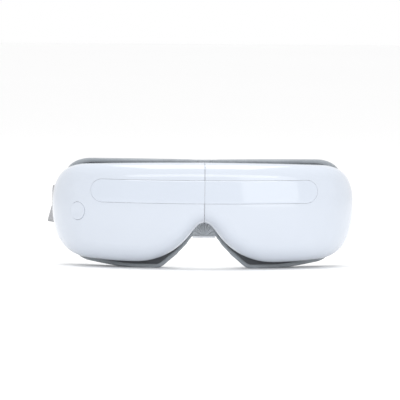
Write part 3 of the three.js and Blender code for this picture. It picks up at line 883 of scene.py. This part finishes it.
def make_groups():
    """Effects that several finishes share."""
    groups = {}

    tree, given, out = group("tint_shift", [("Point", POINT, None), ("Colour", COLOUR, None),
                                            ("Size", VALUE, 40.0), ("Amount", VALUE, 0.05)],
                             [("Colour", COLOUR)])
    cloud = add(tree, "ShaderNodeTexNoise", in_Vector=given.outputs["Point"], in_Scale=given.outputs["Size"],
                in_Detail=3.0)
    shift = mapped(tree, cloud.outputs["Fac"], 0.3, 0.7, -1.0, 1.0)
    shift = maths(tree, "MULTIPLY", shift, given.outputs["Amount"])
    shift = maths(tree, "ADD", shift, 1.0)
    tinted = add(tree, "ShaderNodeHueSaturation", in_Color=given.outputs["Colour"], in_Value=shift)
    tree.links.new(tinted.outputs["Color"], out.inputs["Colour"])
    groups["tint"] = tree

    tree, given, out = group("handling", [("Point", POINT, None), ("Size", VALUE, 60.0), ("Base", VALUE, 0.2),
                                          ("Spread", VALUE, 0.08)], [("Roughness", VALUE)])
    smear = add(tree, "ShaderNodeTexNoise", in_Vector=given.outputs["Point"], in_Scale=given.outputs["Size"],
                in_Detail=6.0, in_Roughness=0.6, in_Distortion=0.6)
    patches = mapped(tree, smear.outputs["Fac"], 0.35, 0.75, 0.0, 1.0)
    spread = maths(tree, "MULTIPLY", patches, given.outputs["Spread"])
    tree.links.new(maths(tree, "ADD", spread, given.outputs["Base"]), out.inputs["Roughness"])
    groups["handling"] = tree

    # Edge mask from the bevel normal: the gloss finish uses it for a painted highlight along rounded edges,
    # the dark mouldings for real edge wear.
    tree, given, out = group("edge_wear_and_highlight", [("Radius", VALUE, 0.0006), ("Gain", VALUE, 6.0)],
                             [("Mask", VALUE)])
    bevel = add(tree, "ShaderNodeBevel", samples=4, in_Radius=given.outputs["Radius"])
    plain = tree.nodes.new("ShaderNodeNewGeometry")
    bent = add(tree, "ShaderNodeVectorMath", operation="DOT_PRODUCT", in_0=bevel.outputs["Normal"],
               in_1=plain.outputs["Normal"])
    lost = maths(tree, "SUBTRACT", 1.0, bent.outputs["Value"])
    wear_and_highlight_mask = maths(tree, "MULTIPLY", lost, given.outputs["Gain"])
    tree.links.new(add(tree, "ShaderNodeClamp", in_Value=wear_and_highlight_mask).outputs[0], out.inputs["Mask"])
    groups["wear_and_highlight"] = tree

    tree, given, out = group("leather_grain", [("Point", POINT, None), ("Size", VALUE, 1400.0)],
                             [("Height", VALUE), ("Tone", VALUE)])
    cells = add(tree, "ShaderNodeTexVoronoi", feature="DISTANCE_TO_EDGE", in_Vector=given.outputs["Point"],
                in_Scale=given.outputs["Size"], in_Randomness=0.9)
    pebbles = mapped(tree, cells.outputs["Distance"], 0.0, 0.35, 0.0, 1.0)
    crease = add(tree, "ShaderNodeTexNoise", in_Vector=given.outputs["Point"], in_Scale=220.0, in_Detail=5.0,
                 in_Distortion=1.5)
    folds = mapped(tree, crease.outputs["Fac"], 0.35, 0.65, 0.0, 1.0)
    both = maths(tree, "ADD", maths(tree, "MULTIPLY", pebbles, 0.6), maths(tree, "MULTIPLY", folds, 0.4))
    tree.links.new(both, out.inputs["Height"])
    tree.links.new(mapped(tree, pebbles, 0.0, 0.5, 0.86, 1.0), out.inputs["Tone"])
    groups["leather"] = tree

    tree, given, out = group("spark_texture", [("Point", POINT, None), ("Size", VALUE, 2600.0)],
                             [("Height", VALUE)])
    sparks = add(tree, "ShaderNodeTexNoise", in_Vector=given.outputs["Point"], in_Scale=given.outputs["Size"],
                 in_Detail=2.0, in_Roughness=0.7)
    tree.links.new(sparks.outputs["Fac"], out.inputs["Height"])
    groups["spark"] = tree

    tree, given, out = group("weave", [("Point", POINT, None), ("Pitch", VALUE, 0.0008),
                                       ("Rib", VALUE, 0.0016)], [("Height", VALUE), ("Tone", VALUE)])
    parts = add(tree, "ShaderNodeSeparateXYZ", in_0=given.outputs["Point"])
    turns = 2 * math.pi
    u = maths(tree, "DIVIDE", maths(tree, "MULTIPLY", parts.outputs[0], turns), given.outputs["Pitch"])
    v = maths(tree, "DIVIDE", maths(tree, "MULTIPLY", parts.outputs[1], turns), given.outputs["Rib"])
    wale = maths(tree, "ABSOLUTE", maths(tree, "SINE", maths(tree, "MULTIPLY", v, 0.5)))
    slant = maths(tree, "ADD", u, maths(tree, "MULTIPLY", wale, 1.6))
    loop = mapped(tree, maths(tree, "SINE", slant), -1.0, 1.0, 0.0, 1.0)
    knit = maths(tree, "MULTIPLY", loop, maths(tree, "POWER", wale, 0.6))
    tree.links.new(knit, out.inputs["Height"])
    tree.links.new(mapped(tree, knit, 0.0, 1.0, 0.72, 1.0), out.inputs["Tone"])
    groups["weave"] = tree
    return groups


class Finish:
    """One finish under construction: a Principled shader and the object-space point to drive its textures."""

    def __init__(self, name, roughness=0.5, metallic=0.0, **fixed):
        self.material = bpy.data.materials.new(name)
        self.material.use_nodes = True
        self.tree = self.material.node_tree
        self.shader = self.tree.nodes["Principled BSDF"]
        self.shader.inputs["Roughness"].default_value = roughness
        self.shader.inputs["Metallic"].default_value = metallic
        for key, value in fixed.items():
            self.shader.inputs[key.replace("_", " ")].default_value = value
        self.point = self.tree.nodes.new("ShaderNodeTexCoord").outputs["Object"]

    def effect(self, key, **values):
        node = self.tree.nodes.new("ShaderNodeGroup")
        node.node_tree = GROUPS[key]
        for label, value in values.items():
            if isinstance(value, bpy.types.NodeSocket):
                self.tree.links.new(value, node.inputs[label])
            else:
                node.inputs[label].default_value = value
        return node

    def feed(self, socket, value):
        self.tree.links.new(value, self.shader.inputs[socket])

    def colour(self, rgb, size=40.0, amount=0.05, tone=None):
        shade_of = self.effect("tint", Point=self.point, Colour=(*rgb, 1), Size=size, Amount=amount)
        value = shade_of.outputs["Colour"]
        if tone is not None:
            mix = add(self.tree, "ShaderNodeHueSaturation", in_Color=value, in_Value=tone)
            value = mix.outputs["Color"]
        self.feed("Base Color", value)
        return value

    def rough(self, base, spread, size=60.0):
        marks = self.effect("handling", Point=self.point, Base=base, Spread=spread, Size=size)
        self.feed("Roughness", marks.outputs[0])

    def bump(self, height, distance, strength=1.0):
        node = add(self.tree, "ShaderNodeBump", in_Height=height, in_Distance=distance * MM,
                   in_Strength=strength)
        self.feed("Normal", node.outputs["Normal"])


def gloss_finish(name, rgb, roughness, spread):
    look = Finish(name, Coat_Weight=0.35, Coat_Roughness=0.04)
    value = look.colour(rgb, size=18.0, amount=0.012)
    # Edges mixed toward near white: a painted highlight along the rounded edges of the shell and panel.
    wear_and_highlight_mask = look.effect("wear_and_highlight", Radius=0.0005, Gain=2.0).outputs["Mask"]
    mix = add(look.tree, "ShaderNodeMix", data_type="RGBA", in_0=maths(look.tree, "MULTIPLY", wear_and_highlight_mask, 0.25))
    look.tree.links.new(value, mix.inputs[6])
    mix.inputs[7].default_value = (0.95, 0.96, 0.97, 1)
    look.feed("Base Color", mix.outputs[2])
    look.rough(roughness, spread)
    peel = add(look.tree, "ShaderNodeTexNoise", in_Vector=look.point, in_Scale=500.0, in_Detail=1.0)
    look.bump(peel.outputs["Fac"], 0.004, 0.35)
    return look.material


def leather_finish(name, rgb):
    look = Finish(name, Sheen_Weight=0.12, Sheen_Roughness=0.4)
    grain = look.effect("leather", Point=look.point, Size=1300.0)
    look.colour(rgb, size=55.0, amount=0.07, tone=grain.outputs["Tone"])
    look.rough(0.46, 0.16, size=90.0)
    look.bump(grain.outputs["Height"], 0.09, 0.6)
    return look.material


def moulded_finish(name, rgb):
    look = Finish(name)
    value = look.colour(rgb, size=80.0, amount=0.08)
    # Lighter rubbed edges: real wear on the dark mouldings.
    wear_and_highlight_mask = look.effect("wear_and_highlight", Radius=0.0004, Gain=3.0).outputs["Mask"]
    mix = add(look.tree, "ShaderNodeMix", data_type="RGBA", in_0=maths(look.tree, "MULTIPLY", wear_and_highlight_mask, 0.5))
    look.tree.links.new(value, mix.inputs[6])
    mix.inputs[7].default_value = tuple(min(1, c * 1.8 + 0.02) for c in rgb) + (1,)
    look.feed("Base Color", mix.outputs[2])
    look.rough(0.55, 0.12)
    look.bump(look.effect("spark", Point=look.point).outputs[0], 0.03, 0.6)
    return look.material


def cloth_finish():
    look = Finish("stretch_cloth", roughness=0.92, Sheen_Weight=0.3, Sheen_Roughness=0.5)
    swap = add(look.tree, "ShaderNodeSeparateXYZ", in_0=look.point)
    flat = add(look.tree, "ShaderNodeCombineXYZ", in_0=swap.outputs[2], in_1=swap.outputs[0])
    knit = look.effect("weave", Point=flat.outputs[0], Pitch=0.0009, Rib=0.0012)
    look.colour((0.2, 0.21, 0.225), size=60.0, amount=0.08, tone=knit.outputs["Tone"])
    look.bump(knit.outputs["Height"], 0.18, 0.8)
    return look.material


def webbing_finish():
    look = Finish("elastic_webbing", roughness=0.85, Sheen_Weight=0.25, Sheen_Roughness=0.45)
    uv = look.tree.nodes.new("ShaderNodeUVMap")
    knit = look.effect("weave", Point=uv.outputs["UV"], Pitch=0.0011, Rib=0.0016)
    look.colour((0.345, 0.35, 0.37), size=70.0, amount=0.06, tone=knit.outputs["Tone"])
    look.bump(knit.outputs["Height"], 0.2, 0.8)
    return look.material


def thread_finish():
    look = Finish("thread", roughness=0.7)
    wind = add(look.tree, "ShaderNodeTexNoise", in_Vector=look.point, in_Scale=4000.0, in_Detail=1.0)
    look.colour((0.46, 0.47, 0.49), size=200.0, amount=0.1)
    look.bump(wind.outputs["Fac"], 0.05)
    return look.material


def metal_finish(name, rgb, roughness, stretch):
    look = Finish(name, metallic=1.0)
    place = add(look.tree, "ShaderNodeMapping", in_Vector=look.point, in_Scale=stretch)
    lines = add(look.tree, "ShaderNodeTexNoise", in_Vector=place.outputs[0], in_Scale=900.0, in_Detail=3.0)
    look.colour(rgb, size=120.0, amount=0.06)
    look.feed("Roughness", mapped(look.tree, lines.outputs["Fac"], 0.3, 0.7, roughness, roughness + 0.18))
    look.bump(lines.outputs["Fac"], 0.01, 0.4)
    return look.material


def film_finish(name, rgb, lines_size):
    look = Finish(name, roughness=0.4)
    bands = add(look.tree, "ShaderNodeTexWave", in_Vector=look.point, in_Scale=lines_size, in_Distortion=1.5)
    tone = mapped(look.tree, bands.outputs["Fac"], 0.4, 0.6, 0.8, 1.0)
    look.colour(rgb, size=80.0, amount=0.06, tone=tone)
    look.rough(0.32, 0.15)
    look.bump(bands.outputs["Fac"], 0.05, 0.5)
    return look.material


def board_finish():
    look = Finish("solder_mask", Coat_Weight=0.4)
    tracks = add(look.tree, "ShaderNodeTexBrick", in_Vector=add(
        look.tree, "ShaderNodeMapping", in_Vector=look.point, in_Rotation=(math.pi / 2, 0, 0)).outputs[0],
        in_Scale=260.0, in_Color1=(0.02, 0.16, 0.08, 1), in_Color2=(0.03, 0.22, 0.11, 1),
        in_Mortar=(0.08, 0.32, 0.17, 1), in_Mortar_Size=0.03)
    look.feed("Base Color", tracks.outputs["Color"])
    look.rough(0.3, 0.1)
    look.bump(tracks.outputs["Fac"], 0.03)
    return look.material


def finish_piece(piece, body, look, slot, *nodes):
    """Give a piece its material, the nodes it stands for and the body it rides on. The slot argument is not
    used.
    """
    piece.data.materials.clear()
    piece.data.materials.append(look)
    if nodes:
        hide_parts(*nodes)
    if body:
        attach(piece, body)


def finish_nodes():
    """Better materials for the parts that keep their frame shape."""
    looks = {
        "rear_frame": MOULDED, "pad_carrier": MOULDED, "frame_screw": STEEL, "air_bag": BLADDER,
        "heating_film": FOIL, "vibration_motor": STEEL, "motor_weight": BRASS, "hinge_leaf": STEEL,
        "hinge_pin": STEEL, "air_pump": STEEL, "air_valve": MOULDED, "button_switch": MOULDED,
        "charging_socket": STEEL, "battery": WRAP, "hinge_cable": FOIL, "cross_hose": BLADDER,
        "main_circuit_board": BOARD,
    }
    for name, node in frame["nodes"].items():
        for part, look in looks.items():
            if part in name:
                node.data.materials.clear()
                node.data.materials.append(look)


# ---------------------------------------------------------------- studio
def make_studio():
    bpy.ops.mesh.primitive_plane_add(size=14, location=(0, 2, 0))
    floor = bpy.context.object
    floor.name = "floor"
    paper = Finish("white_paper", roughness=0.9)
    paper.colour((0.97, 0.97, 0.97), size=0.6, amount=0.004)
    floor.data.materials.append(paper.material)
    world = bpy.data.worlds.new("studio")
    bpy.context.scene.world = world
    world.use_nodes = True
    background = world.node_tree.nodes["Background"]
    background.inputs["Color"].default_value = (1, 1, 1, 1)
    background.inputs["Strength"].default_value = 1.0
    lamps = {
        "overhead": ((0.0, 0.1, 1.1), (0.8, 0.8), 0, 6.0),
        "upper": ((0.0, -2.2, 0.95), (4.0, 0.7), 0, 20.0),
        "side": ((1.0, -1.35, 0.1), (0.9, 0.9), 14, 3.2),
    }
    for name, (place, size, turn, power) in lamps.items():
        bpy.ops.object.light_add(type="AREA", location=place)
        lamp = bpy.context.object
        lamp.name = name
        lamp.data.shape = "RECTANGLE"
        lamp.data.size, lamp.data.size_y = size
        lamp.data.energy = power
        aim = (Vector((0, FRONT, 0.04)) - Vector(place)).to_track_quat("-Z", "Y").to_matrix().to_4x4()
        lamp.matrix_world = Matrix.Translation(place) @ aim @ Matrix.Rotation(math.radians(turn), 4, "Z")
    bpy.context.scene.view_settings.view_transform = "Standard"


make_camera()
GROUPS = make_groups()
GLOSS = gloss_finish("pearl_white_plastic", (0.505, 0.543, 0.606), 0.13, 0.06)
PANEL = gloss_finish("polished_panel", (0.502, 0.543, 0.61), 0.05, 0.03)
LEATHER = leather_finish("grey_leather", (0.285, 0.31, 0.335))
# Flap and hem: the pad's leather, brightened as painted light for the shaded notch under the bridge.
FLAP_LIT_LEATHER = leather_finish("flap_leather_painted_light", (0.5, 0.53, 0.56))
HEM_LIT_LEATHER = leather_finish("hem_leather_painted_light", (0.7, 0.72, 0.75))
CLOTH = cloth_finish()
WEBBING = webbing_finish()
THREAD = thread_finish()
MOULDED = moulded_finish("dark_moulding", (0.06, 0.065, 0.072))
STEEL = metal_finish("brushed_steel", (0.6, 0.61, 0.63), 0.24, (1, 1, 8))
BRASS = metal_finish("sintered_brass", (0.62, 0.5, 0.28), 0.35, (1, 1, 1))
BLADDER = film_finish("bladder_film", (0.62, 0.62, 0.6), 90.0)
FOIL = film_finish("amber_film", (0.5, 0.25, 0.07), 240.0)
WRAP = film_finish("shrink_wrap", (0.05, 0.13, 0.32), 60.0)
BOARD = board_finish()

make_shells()
make_panels()
make_button()
make_face_pads()
make_eye_cushions()
make_nose_flap()
make_gusset()
for SIDE in ("right", "left"):
    make_strap(SIDE)
make_clasps()
make_slider()
make_lugs()
finish_nodes()
make_studio()
